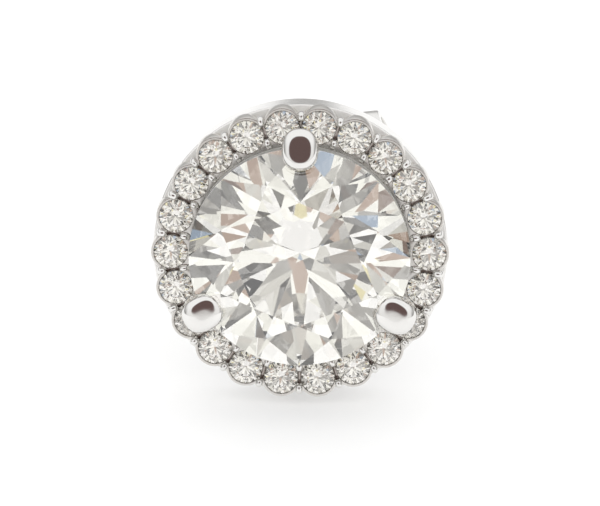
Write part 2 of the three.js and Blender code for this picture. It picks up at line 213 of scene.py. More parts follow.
class StudioLook(bpy.types.PropertyGroup):
    """Camera, floor and light."""

    azimuth: angle("Azimuth", "Camera's turn to the right of the earring's front", 1.3)
    above_axis: angle("Above axis", "Camera's height above the earring's own axis", 12.9)
    distance: size("Distance", "Camera to the halo's middle", 260)
    view_width: size("View width", "Width of the picture at the halo's middle", 17.6)
    floor: colour("Floor", "Plain pale floor", (0.6, 0.6, 0.598))
    glow: share("Floor glow", "Light that the floor gives off", 0.4)
    dome: share("Dome", "Brightness of the white dome", 1.06, 10.0)
    fill: share("Fill", "Extra brightness of the dome on rough faces", 0.2, 10.0)
    walls: colour("Walls", "Grey walls beside and behind, seen in the metal", (0.34, 0.335, 0.33))
    patch: colour("Patch", "Dark patch round the camera, seen in the metal", (0.13, 0.085, 0.08))
    patch_core: angle("Patch core", "Half the dark patch, where it is darkest", 21)
    patch_edge: angle("Patch edge", "Half the dark patch, where it ends", 25)
    mosaic: share("Mosaic place", "Which part of the mosaic of tones the stones see", 6.0, 100.0)


def place(points):
    """Points in the earring's own millimetres, in the frame's metres."""
    return face_origin + (np.asarray(points, float) @ earring_axes) * MM


def clock(angles, radius, height):
    """Points at clock angles, clockwise from twelve: x = r sin a, y = r cos a, z as given."""
    angles, radius, height = np.broadcast_arrays(angles, radius, height)
    return np.stack([radius * np.sin(angles), radius * np.cos(angles), height], -1)


def turn(points, clockwise):
    """Points turned clockwise about the earring's axis."""
    c, s = math.cos(clockwise), math.sin(clockwise)
    return points @ np.array([[c, -s, 0.0], [s, c, 0.0], [0.0, 0.0, 1.0]])


def grid_quads(rows, columns, wrap_rows=False, wrap_columns=False):
    """Quads of a grid numbered row by row, wrapping where asked.
    A quad's corners are (r, c), (r, c+1), (r+1, c+1) and (r+1, c)."""
    r = np.arange(rows if wrap_rows else rows - 1)[:, None]
    c = np.arange(columns if wrap_columns else columns - 1)[None, :]
    down, across = (r + 1) % rows, (c + 1) % columns
    quads = np.stack(np.broadcast_arrays(r * columns + c, r * columns + across,
                                         down * columns + across, down * columns + c), -1)
    return quads.reshape(-1, 4)


def join(parts):
    """One list of points and one of faces from several (points, face rows, finish number)."""
    points, faces, kinds, start = [], [], [], 0
    for vertices, rows, kind in parts:
        vertices = np.asarray(vertices, float).reshape(-1, 3)
        points.append(vertices)
        for block in rows:
            faces += (np.asarray(block) + start).tolist()
            kinds += [kind] * len(block)
        start += len(vertices)
    return np.concatenate(points), faces, kinds


def closed_mesh(name, parts, painted_cut_shade=None):
    """A mesh from (points, face rows, finish number) parts, with doubled points merged and faces turned
    outward. The last argument maps points to how much painted shade darkens the finish, from 0 to 1 in the
    cuts."""
    points, faces, kinds = join(parts)
    mesh = bpy.data.meshes.new(name)
    mesh.from_pydata(place(points).tolist(), [], faces)
    if painted_cut_shade is not None:
        depth = mesh.attributes.new("painted_cut_shade", "FLOAT", "POINT")
        depth.data.foreach_set("value", painted_cut_shade(points).astype(np.float32))
    mesh.polygons.foreach_set("material_index", np.array(kinds, np.int32))
    work = bmesh.new()
    work.from_mesh(mesh)
    bmesh.ops.remove_doubles(work, verts=work.verts, dist=MERGE)
    bmesh.ops.recalc_face_normals(work, faces=work.faces)
    work.to_mesh(mesh)
    work.free()
    return mesh


def add_object(name, data):
    """A new object in the scene."""
    obj = bpy.data.objects.new(name, data)
    bpy.context.scene.collection.objects.link(obj)
    return obj


def piece(name, parts, looks, body, node, slot, crease=None, painted_cut_shade=None):
    """A piece of the earring with the named finishes, smooth below the crease angle, or flat without one."""
    mesh = closed_mesh(name, parts, painted_cut_shade)
    for look in looks:
        mesh.materials.append(finish_for(look))
    mesh.polygons.foreach_set("use_smooth", np.full(len(mesh.polygons), crease is not None))
    if crease is not None:
        mesh.set_sharp_from_angle(angle=math.radians(crease))
    mesh.update()
    obj = add_object(name, mesh)
    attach(obj, body)
    if node:
        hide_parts(node)
    return obj


def arc(centre, radius, start, end, steps):
    """Points (across, up) on an arc, angles in degrees."""
    angles = np.radians(np.linspace(start, end, steps))
    return np.stack([centre[0] + radius * np.cos(angles), centre[1] + radius * np.sin(angles)], -1)


def lathe(profile, steps, closed=True):
    """A profile of (radius, height) carried round the axis: x = r sin a, y = r cos a, z = height."""
    profile = np.asarray(profile, float)
    angles = np.linspace(0, 2 * math.pi, steps, endpoint=False)
    points = clock(angles[None, :], profile[:, :1], profile[:, 1:])
    return points.reshape(-1, 3), [grid_quads(len(profile), steps, wrap_rows=closed, wrap_columns=True)]


def rounded(profile, radius, steps=5):
    """A closed profile with each corner replaced by a curve that leaves both sides at the given distance, or
    nearer on a short side. The curve is p(t) = (1-t)^2 a + 2t(1-t) corner + t^2 b. One more point just before
    a and after b makes the flats between the corners shade flat."""
    most, beyond = 0.45, 1.1
    corner = np.asarray(profile, float)
    before, after = np.roll(corner, 1, 0), np.roll(corner, -1, 0)
    back, ahead = before - corner, after - corner
    back_length = np.linalg.norm(back, axis=1, keepdims=True)
    ahead_length = np.linalg.norm(ahead, axis=1, keepdims=True)
    reach = np.minimum(radius, most * np.minimum(back_length, ahead_length))
    a = corner + back / back_length * reach
    b = corner + ahead / ahead_length * reach
    t = np.linspace(0, 1, steps)[None, :, None]
    curve = (1 - t) ** 2 * a[:, None] + 2 * t * (1 - t) * corner[:, None] + t**2 * b[:, None]
    guards = [(corner + beyond * (end - corner))[:, None] for end in (a, b)]
    return np.concatenate([guards[0], curve, guards[1]], 1).reshape(-1, 2)


def tube(path, radii, steps=32):
    """A round wire along a path in the plane through the axis: rings of radius r(s) square to the path,
    closed at both ends by rings that shrink to a point."""
    path, radii = np.asarray(path, float), np.asarray(radii, float)
    tangent = np.gradient(path, axis=0)
    tangent /= np.linalg.norm(tangent, axis=1, keepdims=True)
    side = np.array([1.0, 0.0, 0.0])
    normal = np.cross(tangent, side)
    normal /= np.linalg.norm(normal, axis=1, keepdims=True)
    a = np.linspace(0, 2 * math.pi, steps, endpoint=False)
    rings = path[:, None] + radii[:, None, None] * (
        np.cos(a)[None, :, None] * side + np.sin(a)[None, :, None] * normal[:, None]
    )
    first, last = (np.repeat(end[:, None], steps, 1) for end in (path[:1], path[-1:]))
    rings = np.concatenate([first, rings, last])
    return rings.reshape(-1, 3), [grid_quads(len(rings), steps, wrap_columns=True)]


def superellipsoid(centre, half, plan_power, power, steps):
    """x = a cos(u)^d cos(v)^e, y = b sin(u)^d cos(v)^e and z = c sin(v)^e, with their signs kept, where
    d = 2 / plan power and e = 2 / power."""
    d, e = 2 / plan_power, 2 / power
    u = np.linspace(0, 2 * math.pi, steps[0], endpoint=False)[None, :]
    v = np.linspace(-math.pi / 2, math.pi / 2, steps[1])[:, None]
    keep = lambda value, exponent: np.sign(value) * np.abs(value) ** exponent
    x = half[0] * keep(np.cos(u), d) * keep(np.cos(v), e)
    y = half[1] * keep(np.sin(u), d) * keep(np.cos(v), e)
    z = half[2] * keep(np.sin(v), e) + 0 * u
    points = np.stack([x, y, z], -1).reshape(-1, 3) + np.asarray(centre, float)
    return points, [grid_quads(steps[1], steps[0], wrap_columns=True)]


def brilliant(stones, diameter, girdle, steps):
    """A round brilliant about its edge's middle, with its mains at eight clock angles.

    A half facet's plane goes through its inner corner and two girdle points. The girdle points between follow
    that plane at the full radius, which gives the edge its scallops."""
    radius, half = diameter / 2, math.pi / MAINS
    rise, fall = math.tan(stones.crown), math.tan(stones.pavilion)
    top, bottom = girdle / 2, -girdle / 2
    table = stones.table * radius
    table_z = top + (radius - table) * rise
    star = table * math.cos(half) + stones.star * (radius - table * math.cos(half))
    star_z = table_z - (star * math.cos(half) - table) * rise
    lower = (1 - stones.lower_half) * radius
    lower_z = bottom - (radius - lower * math.cos(half)) * fall
    main = np.arange(MAINS)
    count = 2 * MAINS * steps
    around = np.arange(count)
    a = around * half / steps
    within = (around % steps) * half / steps
    chord = np.cos(within - half / 2) / math.cos(half / 2) - 1
    crown_slope = (star_z - top) / ((star - radius) * math.cos(half / 2))
    pavilion_slope = (lower_z - bottom) / ((lower - radius) * math.cos(half / 2))
    out = radius * math.cos(half / 2) * chord
    points = np.concatenate([
        clock(2 * main * half, table, table_z),
        clock((2 * main + 1) * half, star, star_z),
        clock(a, radius, top + crown_slope * out),
        clock(a, radius, bottom + pavilion_slope * out),
        clock((2 * main + 1) * half, lower, lower_z),
        [[0.0, 0.0, bottom - radius * fall]],
    ])
    star_at, upper = MAINS, 2 * MAINS
    under = upper + count
    low = under + count
    point = low + MAINS
    after, before = (main + 1) % MAINS, (main - 1) % MAINS
    mains = 2 * main * steps
    halves = [(mains[:, None] + begin + np.arange(steps + 1)) % count for begin in (0, steps)]
    facets = [
        main[None, ::-1],
        np.stack([main, after, star_at + main], -1),
        np.stack([main, star_at + main, upper + mains, star_at + before], -1),
        *[np.concatenate([star_at + main[:, None], upper + run[:, ::-1]], 1) for run in halves],
        *[np.concatenate([low + main[:, None], under + run], 1) for run in halves],
        np.stack([np.full(MAINS, point), low + before, under + mains, low + main], -1),
    ]
    ahead = (around + 1) % count
    edge = [np.stack([upper + around, upper + ahead, under + ahead, under + around], -1)]
    return points, facets, edge


def node_group(name, inputs, outputs):
    """An empty shader node group with (socket type, name, default) inputs and (socket type, name) outputs."""
    group = bpy.data.node_groups.new(name, "ShaderNodeTree")
    for kind, label, default in inputs:
        socket = group.interface.new_socket(name=label, in_out="INPUT", socket_type=kind)
        socket.default_value = default
    for kind, label in outputs:
        group.interface.new_socket(name=label, in_out="OUTPUT", socket_type=kind)
    return group, group.nodes.new("NodeGroupInput"), group.nodes.new("NodeGroupOutput")


def fill(tree, made, **values):
    """Sets a node's settings and inputs. An input goes by its name or its number (i1 is input 1), with a
    socket to link or a plain value."""
    for key, value in values.items():
        if hasattr(made, key):
            setattr(made, key, value)
            continue
        number = key[0] == "i" and key[1:].isdigit()
        socket = made.inputs[int(key[1:]) if number else key.replace("_", " ")]
        if isinstance(value, bpy.types.NodeSocket):
            tree.links.new(value, socket)
        else:
            socket.default_value = value
    return made


def node(tree, kind, **values):
    """A new shader node with its settings and inputs."""
    return fill(tree, tree.nodes.new("ShaderNode" + kind), **values)


def blend(tree, amount, first, second):
    """The mix of two colours by an amount, as a socket. Each colour is a socket or three numbers."""
    first, second = (x if isinstance(x, bpy.types.NodeSocket) else (*x, 1) for x in (first, second))
    return node(tree, "Mix", data_type="RGBA", i0=amount, i6=first, i7=second).outputs[2]


def smooth_range(tree, value, begins, full):
    """0 where the value begins and 1 where it is full, with a smooth step between, as a socket."""
    made = node(tree, "MapRange", interpolation_type="SMOOTHSTEP", Value=value, i1=begins, i2=full)
    return made.outputs[0]


def noise(tree, scale):
    """Noise over the object's own coordinates, as a socket."""
    where = node(tree, "TexCoord").outputs["Object"]
    return node(tree, "TexNoise", Vector=where, Scale=scale, Detail=2.0).outputs["Fac"]


def polish_group():
    """Polished metal's small faults: soft swirls that change the roughness, fine lines and shallow dents."""
    group, into, out = node_group(
        "Polish marks",
        [
            ("NodeSocketColor", "Metal", (0.8, 0.8, 0.8, 1)),
            ("NodeSocketColor", "Shade", (0.6, 0.6, 0.6, 1)),
            ("NodeSocketFloat", "Roughness", 0.08),
            ("NodeSocketFloat", "Swirl", 0.08),
            ("NodeSocketFloat", "Scale", 1.0),
        ],
        [("NodeSocketColor", "Color"), ("NodeSocketFloat", "Roughness"), ("NodeSocketFloat", "Height")],
    )
    given = into.outputs
    where = node(group, "TexCoord").outputs["Object"]
    sized = node(group, "VectorMath", operation="SCALE", i0=where, i3=given["Scale"]).outputs[0]
    broad = node(group, "TexNoise", Vector=sized, Scale=900.0, Detail=3.0).outputs["Fac"]
    fine = node(group, "TexNoise", Vector=sized, Scale=9000.0, Detail=2.0,
                Distortion=1.5).outputs["Fac"]
    tone = node(group, "MapRange", Value=broad, i1=0.35, i2=0.75).outputs[0]
    spread = node(group, "Math", operation="MULTIPLY", i0=broad, i1=fine).outputs[0]
    amount = node(group, "Math", operation="MULTIPLY_ADD",
                  i0=spread, i1=given["Swirl"], i2=given["Roughness"]).outputs[0]
    fill(group, out, Color=blend(group, tone, given["Metal"], given["Shade"]), Roughness=amount, Height=fine)
    return group


def plain_material(name):
    """A new material with its node tree and its shader."""
    material = bpy.data.materials.new(name)
    material.use_nodes = True
    return material, material.node_tree, material.node_tree.nodes["Principled BSDF"]


def metal_material(name, group, metal, shade, roughness, swirl, scale, bump, painted_cut_shade=None, metallic=1.0):
    """White gold with the polish marks in its colour, roughness and bump, and a colour of painted shade for
    its cuts.
    """
    material, tree, shader = plain_material(name)
    marks = node(tree, "Group", node_tree=group, Metal=(*metal, 1), Shade=(*shade, 1),
                 Roughness=roughness, Swirl=swirl, Scale=scale)
    dents = node(tree, "Bump", Height=marks.outputs["Height"], Strength=bump, Distance=2e-6)
    tone = marks.outputs["Color"]
    # Painted shade: the colour darkens toward the given one along the cuts between stones, by the mesh's
    # shade attribute.
    if painted_cut_shade:
        deep = node(tree, "Attribute", attribute_name="painted_cut_shade")
        tone = blend(tree, deep.outputs["Fac"], tone, painted_cut_shade)
    fill(tree, shader, Base_Color=tone, Roughness=marks.outputs["Roughness"], Normal=dents.outputs["Normal"],
         Metallic=metallic)
    return material


def gem_material(name, tint, deep, scale):
    """Clear cut stone: glass of diamond's index, with a body colour that changes a little inside."""
    material, tree, shader = plain_material(name)
    body = blend(tree, noise(tree, scale), tint, deep)
    fill(tree, shader, Base_Color=body, Transmission_Weight=1.0, IOR=DIAMOND_IOR, Roughness=0.0)
    return material


def girdle_material(name):
    """Bruted edge of a cut stone: frosted, with a fine grain."""
    material, tree, shader = plain_material(name)
    grain = noise(tree, 20000.0)
    rough = node(tree, "MapRange", Value=grain, i1=0.3, i2=0.7, i3=0.25, i4=0.45).outputs[0]
    fill(tree, shader, Base_Color=(0.93, 0.93, 0.92, 1), Roughness=rough, Transmission_Weight=0.85,
         IOR=DIAMOND_IOR)
    return material


finishes = {}


def finish_for(name):
    """The named finish, with all of them made on first use."""
    if not finishes:
        setting = bpy.context.scene.earring_setting
        metal = tuple(setting.metal)
        shade = tuple(0.93 * x for x in metal)
        # A darker, warmer copy of the metal for the collar: its darkening is painted shade.
        shaded_warm_metal = tuple(x * y for x, y in zip(metal, (0.9, 0.885, 0.86)))
        # A lighter copy of the metal for the satin lip: its lighter colour is painted light, its satin is
        # real roughness.
        bright = tuple(min(1.0, 1.12 * x) for x in metal)
        # Colour of the painted shade in the collar's cuts.
        deep = (0.52, 0.48, 0.45)
        marks = polish_group()
        # After the label: metal, shade, roughness, swirl, scale, bump, colour of the painted shade in the
        # cuts, metallic.
        for key, label, *look in (
            ("setting", "Plated white gold", metal, shade, setting.polish, 0.10, 1.0, 0.12),
            ("collar", "Bright cut collar with painted shade", shaded_warm_metal, shade, 0.2, 0.12, 1.5, 0.15, deep),
            ("lip", "Satin lip with painted light", bright, metal, 0.38, 0.12, 1.5, 0.1, None, 0.35),
            ("beads", "Bright cut beads", metal, shade, 0.05, 0.06, 2.0, 0.06),
            ("clutch", "Rolled clutch strip", metal, shade, 0.14, 0.16, 0.8, 0.2),
        ):
            finishes[key] = metal_material(label, marks, *look)
        finishes["centre"] = gem_material(
            "Large diamond", (0.995, 0.985, 0.95), (0.98, 0.965, 0.925), 300.0)
        finishes["halo"] = gem_material(
            "Small diamond", (0.985, 0.965, 0.935), (0.955, 0.925, 0.885), 1200.0)
        finishes["girdle"] = girdle_material("Bruted edge")
    return finishes[name]


def in_mm(sizes, names):
    """Values in millimetres of the lengths named in one string."""
    return [getattr(sizes, name) / MM for name in names.split()]


def stone_angles(stones):
    """Clock angles of the small stones, the first half a pitch past twelve."""
    return [(i + 0.5) * 2 * math.pi / stones.halo_count for i in range(stones.halo_count)]


class EARRING_OT_stones(bpy.types.Operator):
    """Cut the large brilliant and the ring of small ones"""

    bl_idname = "earring.stones"
    bl_label = "Stones"

    def execute(self, context):
        stones = context.scene.earring_stones
        diameter, girdle, lift = in_mm(stones, "centre_diameter centre_girdle centre_lift")
        points, facets, edge = brilliant(stones, diameter, girdle, CENTRE_STEPS)
        points = points + [0, 0, lift + girdle / 2]
        piece("centre_brilliant", [(points, facets, 0), (points, edge, 1)],
              ("centre", "girdle"), "stud", "centre_stone", "diamond")
        diameter, girdle, sink, pitch = in_mm(stones, "halo_diameter halo_girdle halo_sink halo_pitch")
        points, facets, edge = brilliant(stones, diameter, girdle, HALO_STEPS)
        for i, step in enumerate(stone_angles(stones), 1):
            moved = turn(points, step) + clock(step, pitch, -sink - girdle / 2)
            piece(f"halo_brilliant_{i:02d}", [(moved, facets, 0), (moved, edge, 1)],
                  ("halo", "girdle"), "stud", f"halo_stone_{i:02d}", "diamond")
        return {"FINISHED"}


def collar_cell(stones, setting):
    """One stone's share of the scalloped front, as a grid of columns round the stone's axis.

    A column runs from the stone's axis to one point of the cell's outline: the scallop's arc, the line
    halfway to each neighbour, or the arc of the inner lip. Rows climb the drilled hole, the seat's cone and
    wall, cross the face and, under the cell, come back to the hole. Beside a neighbour the face dips into the
    cut between stones: depth times a smooth step of the distance to that line."""
    pitch, diameter, girdle, sink = in_mm(stones, "halo_pitch halo_diameter halo_girdle halo_sink")
    clearance, seat_gap, rim, depth, bore = in_mm(setting, "clearance seat_gap rim collar_depth ring_bore")
    lip, drill, cut_width, cut_depth = in_mm(setting, "lip drill cut_width cut_depth")
    steepness, cut_start, cut_run = 1.6, 0.02, 0.08
    soft, least_wall, lip_bulge = 0.012, 0.004, 1.4
    half = math.pi / stones.halo_count
    seat = diameter / 2 + seat_gap
    outer = diameter / 2 + clearance + rim
    hole = drill / 2
    inner = bore + lip
    centre = np.array([0.0, pitch])
    valley = pitch * math.cos(half) + math.sqrt(outer**2 - (pitch * math.sin(half)) ** 2)
    halfway = np.array([math.sin(half), math.cos(half)])

    def sides(innermost):
        """The lines halfway to the neighbours: the right one going inward and the left one outward."""
        right = np.linspace(valley, innermost, SIDE_POINTS + 2)[1:-1, None] * halfway
        return right, right[::-1] * [-1, 1]

    def surface(plan):
        """Height of the front face over plan points."""
        x, y = np.abs(plan[..., 0]), plan[..., 1]
        gap = np.abs(x * math.cos(half) - y * math.sin(half))
        near = np.clip((cut_width / 2 - gap) / (cut_width / 2) * steepness, 0, 1)
        begins = np.clip((np.hypot(x, y) - inner - cut_start) / cut_run, 0, 1)
        smooth = lambda t: t * t * (3 - 2 * t)
        return -cut_depth * smooth(near) * smooth(begins)

    def row(plan, height):
        """Plan points at a height."""
        return np.concatenate([plan, np.broadcast_to(height, plan.shape[:1])[:, None]], 1)

    def part(rows, kind, wrap=False):
        """A part from rows of points."""
        grid = np.stack(rows)
        return grid.reshape(-1, 3), [grid_quads(*grid.shape[:2], wrap_columns=wrap)], kind

    sweep = math.atan2(valley * math.sin(half), valley * math.cos(half) - pitch)
    bend = np.linspace(-sweep, sweep, SCALLOP_POINTS)
    scallop = centre + outer * np.stack([np.sin(bend), np.cos(bend)], -1)
    right, left = sides(inner)
    across = np.linspace(half, -half, LIP_POINTS)
    lip_arc = inner * np.stack([np.sin(across), np.cos(across)], -1)
    outline = np.concatenate([scallop, right, lip_arc, left])
    on_scallop = slice(0, SCALLOP_POINTS)
    on_right = slice(on_scallop.stop, on_scallop.stop + SIDE_POINTS)
    on_lip = slice(on_right.stop, on_right.stop + LIP_POINTS)
    on_left = slice(on_lip.stop, None)
    away = outline - centre
    away /= np.linalg.norm(away, axis=1, keepdims=True)

    hole_plan, seat_plan = centre + hole * away, centre + seat * away
    seat_top, seat_floor = surface(seat_plan), -sink - girdle - clearance
    edge = outline.copy()
    edge[on_scallop] -= soft * away[on_scallop]
    front = [
        row(hole_plan, -depth),
        row(hole_plan, seat_floor - (seat - hole) * math.tan(stones.pavilion)),
        row(seat_plan, np.minimum(seat_floor, seat_top - least_wall)),
        row(seat_plan, seat_top - soft * (seat_top > -soft)),
        row(seat_plan + soft * away, seat_top),
    ]
    face_width = np.linalg.norm(outline - seat_plan, axis=1)[:, None] - 2 * soft
    for t in (0.25, 0.5, 0.75):
        plan = seat_plan + (soft + t * face_width) * away
        front.append(row(plan, surface(plan)))
    front.append(row(edge, surface(edge)))

    base = outline.copy()
    base[on_lip] *= bore / inner
    base[on_right], base[on_left] = sides(bore)
    under = [row(base, -depth), row(hole_plan, -depth)]

    rim_line, rim_away = outline[on_scallop], away[on_scallop]
    high = surface(edge)[on_scallop]
    wall = [
        row(edge[on_scallop], high),
        row(rim_line - 0.3 * soft * rim_away, high - 0.3 * soft),
        row(rim_line, high - soft),
        row(rim_line, -depth),
    ]

    lip_line = outline[on_lip]
    slopes = [row(lip_line, surface(lip_line))]
    for t in (0.15, 0.5, 0.85, 1.0):
        slopes.append(row(lip_line * (1 + t * (bore / inner - 1)), -lip * t**lip_bulge))
    slopes.append(row(lip_line * bore / inner, -depth))
    return [part(front, 0, True), part(under, 0, True), part(wall, 0), part(slopes, 1)]


def cut_away(obj, parts):
    """Takes closed parts out of a piece, and creases what is left at its sharper edges."""
    crease = 35
    cutter = add_object("cutter", closed_mesh("cutter", parts))
    modifier = obj.modifiers.new("cut", "BOOLEAN")
    modifier.operation = "DIFFERENCE"
    modifier.solver = "EXACT"
    modifier.object = cutter
    bpy.context.view_layer.update()
    seen = obj.evaluated_get(bpy.context.evaluated_depsgraph_get())
    result = bpy.data.meshes.new_from_object(seen)
    obj.modifiers.clear()
    result.polygons.foreach_set("use_smooth", np.ones(len(result.polygons), bool))
    result.set_sharp_from_angle(angle=math.radians(crease))
    obj.data = result
    bpy.data.objects.remove(cutter)


class EARRING_OT_halo(bpy.types.Operator):
    """Make the ring of the halo with its seats, cuts and beads"""

    bl_idname = "earring.halo"
    bl_label = "Halo Ring"

    def execute(self, context):
        stones, setting = context.scene.earring_stones, context.scene.earring_setting
        self.collar(stones, setting)
        self.gallery(stones, setting)
        self.beads(stones, setting)
        return {"FINISHED"}

    def collar(self, stones, setting):
        """The scalloped front, one cell for each small stone."""
        depth, bore, lip, cut = in_mm(setting, "collar_depth ring_bore lip cut_width")
        full, lip_gap, lip_fade, bottom = 1.6, 0.03, 0.06, 0.1
        half = math.pi / stones.halo_count

        def painted_cut_shade(points):
            """How much painted shade darkens the metal: 1 near the line between two stones, 0 from 1.6 half
            widths of the cut away from it, and 0 at the inner lip and along the bottom."""
            out = np.hypot(points[:, 0], points[:, 1])
            around = np.arctan2(points[:, 0], points[:, 1]) % (2 * half)
            beside = out * np.sin(np.minimum(around, 2 * half - around))
            within = np.clip(full - beside / (cut / 2), 0, 1)
            outside = np.clip((out - bore - lip - lip_gap) / lip_fade, 0, 1)
            return within * outside * (points[:, 2] > bottom - depth)

        cell = collar_cell(stones, setting)
        parts = []
        for step in stone_angles(stones):
            parts += [(turn(points, step), faces, kind) for points, faces, kind in cell]
        # The collar is a darker copy of the metal with painted shade in its cuts; its inner lip takes the
        # satin finish with a lighter colour of painted light.
        piece("halo_collar", parts, ("collar", "lip"), *SETTING_METAL, 40, painted_cut_shade)

    def gallery(self, stones, setting):
        """The smooth ring behind the scalloped front, drilled behind each small stone. Its front face and two
        rows of the rounding on each side of it have the satin finish, whose lighter colour is painted light."""
        (pitch,) = in_mm(stones, "halo_pitch")
        depth, radius, bore, bevel, overlap, drill = in_mm(
            setting, "collar_depth ring_radius ring_bore ring_bevel ring_overlap drill")
        back, ahead = -REAR_FACE_DEPTH, overlap - depth
        section = rounded([(bore, back), (radius, back), (radius, ahead), (bore, ahead)], bevel)
        points, (faces,) = lathe(section, RING_STEPS)
        flat = 3 * len(section) // 4 - 1
        # Faces with the satin finish: satin roughness, and a lighter colour that is painted light.
        satin = np.zeros(len(section), bool)
        satin[flat - 2:flat + 3] = True
        satin = np.repeat(satin, RING_STEPS)
        ring = piece("halo_gallery", [(points, [faces[~satin]], 0), (points, [faces[satin]], 1)],
                     ("setting", "lip"), *SETTING_METAL, 50)
        low, high, hole = -2.0, 0.2, drill / 2
        rod, faces = lathe([(0, low), (hole, low), (hole, high), (0, high)], 32, closed=False)
        cut_away(ring, [(rod + clock(step, pitch, 0), faces, 0) for step in stone_angles(stones)])

    def beads(self, stones, setting):
        """Two beads between each pair of stones, no two quite alike."""
        (pitch,) = in_mm(stones, "halo_pitch")
        offset, width, length, height, sink = in_mm(
            setting, "bead_offset bead_width bead_length bead_height bead_sink")
        unevenness, shift, power = 0.08, 0.012, 2.6
        middle = pitch * math.cos(math.pi / stones.halo_count)
        grain = np.random.default_rng(7)
        beads = []
        for i in range(stones.halo_count):
            for side in (-1, 1):
                stretch = 1 + unevenness * grain.standard_normal(3)
                half = np.array([width / 2, length / 2, (height + sink) / 2]) * stretch
                points, faces = superellipsoid((0, 0, height - half[2]), half, power, power, (24, 13))
                points = points + [shift * grain.standard_normal(), middle + side * offset, 0]
                beads.append((turn(points, i * 2 * math.pi / stones.halo_count), faces, 0))
        piece("halo_beads", beads, ("beads",), *SETTING_METAL, 70)


class EARRING_OT_basket(bpy.types.Operator):
    """Make the three prongs, the basket's foot and the post"""

    bl_idname = "earring.basket"
    bl_label = "Basket and Post"

    def execute(self, context):
        stones, setting = context.scene.earring_stones, context.scene.earring_setting
        diameter, girdle, lift = in_mm(stones, "centre_diameter centre_girdle centre_lift")
        clearance, culet_gap = in_mm(setting, "clearance culet_gap")
        radius = diameter / 2
        top = lift - radius * math.tan(stones.pavilion) - culet_gap
        gem, facets, edge = brilliant(stones, diameter + 2 * clearance, girdle + 2 * clearance, CENTRE_STEPS)
        gem = gem + [0, 0, lift + girdle / 2]
        self.prongs(setting, radius, top, [(gem, facets + edge, 0)])
        self.post(setting, top)
        return {"FINISHED"}

    def prongs(self, setting, radius, top, gem):
        """Three wires from the basket's foot, each with a tip over the stone's edge and the stone cut out.
        A wire's bend is p(t) = (1-t)^2 near + 2t(1-t) elbow + t^2 far."""
        width, length, height, tip_lift = in_mm(setting, "tip_width tip_length tip_height tip_lift")
        stem, arm, base, base_height = in_mm(setting, "stem arm base_radius base_height")
        foot_rise, crest_out = 0.1, 0.1
        bend_begins, bend_ends = 0.3, 0.8
        thinning = (9, 30)
        plan_power, power = 2.3, 4.2
        tip_half = (width / 2, length / 2, height / 2)
        tip_z = tip_lift + height / 2
        foot = np.array([0, base / 3, top - base_height / 2 + foot_rise])
        elbow = np.array([0, radius - stem, -REAR_FACE_DEPTH / 2])
        crest = np.array([0, radius - stem + crest_out, tip_z])
        near = elbow + (foot - elbow) * bend_begins
        far = elbow + (crest - elbow) * bend_ends
        t = np.linspace(0, 1, 40)[:, None]
        curve = (1 - t) ** 2 * near + 2 * t * (1 - t) * elbow + t**2 * far
        straight = foot + (near - foot) * np.linspace(0.2, 0.9, 8)[:, None]
        path = np.concatenate([foot[None], straight, curve, crest[None]])
        wire = np.interp(np.arange(len(path)), [0, *thinning, len(path) - 1], [arm, arm, stem, stem])
        for i, outward in enumerate((setting.top_lean, setting.low_lean, setting.low_lean)):
            c, s = math.cos(outward), math.sin(outward)
            lean = np.array([[1, 0, 0], [0, c, -s], [0, s, c]])
            tip, tip_faces = superellipsoid((0, 0, 0), tip_half, plan_power, power, (96, 65))
            tip = tip @ lean + [0, radius, tip_z]
            for name, points, faces in (("prong", *tube(path, wire)), ("prong_tip", tip, tip_faces)):
                parts = [(turn(points, 2 * math.pi * i / 3), faces, 0)]
                cut_away(piece(f"{name}_{i + 1}", parts, ("setting",), *SETTING_METAL, 60), gem)

    def post(self, setting, top):
        """The post and the basket's foot as one turned profile. The groove is g sin(pi t)^2 deep."""
        post, length, groove, groove_width, groove_depth = in_mm(
            setting, "post_radius post_length groove_place groove_width groove_depth")
        base, base_height = in_mm(setting, "base_radius base_height")
        bottom = top - base_height
        end = bottom - length
        nose, fillet, edge = 0.25, 0.12, 0.1
        root, shoulder = bottom - 0.05, bottom + 0.42
        dip = np.linspace(0, 1, 13)
        neck = post - groove_depth * np.sin(math.pi * dip) ** 2
        profile = np.concatenate([
            [(0, end)],
            arc((post - nose, end + nose), nose, -90, 0, 9),
            np.stack([neck, end + groove + groove_width * dip], -1),
            [(post, root)],
            arc((post + fillet, root), fillet, 180, 100, 7),
            arc((base - edge, shoulder), edge, -50, 0, 6),
            arc((base - edge, top - edge), edge, 0, 90, 7),
            [(0, top)],
        ])
        points, faces = lathe(profile, 96, closed=False)
        piece("post", [(points, faces, 0)], ("setting",), *SETTING_METAL, 60)


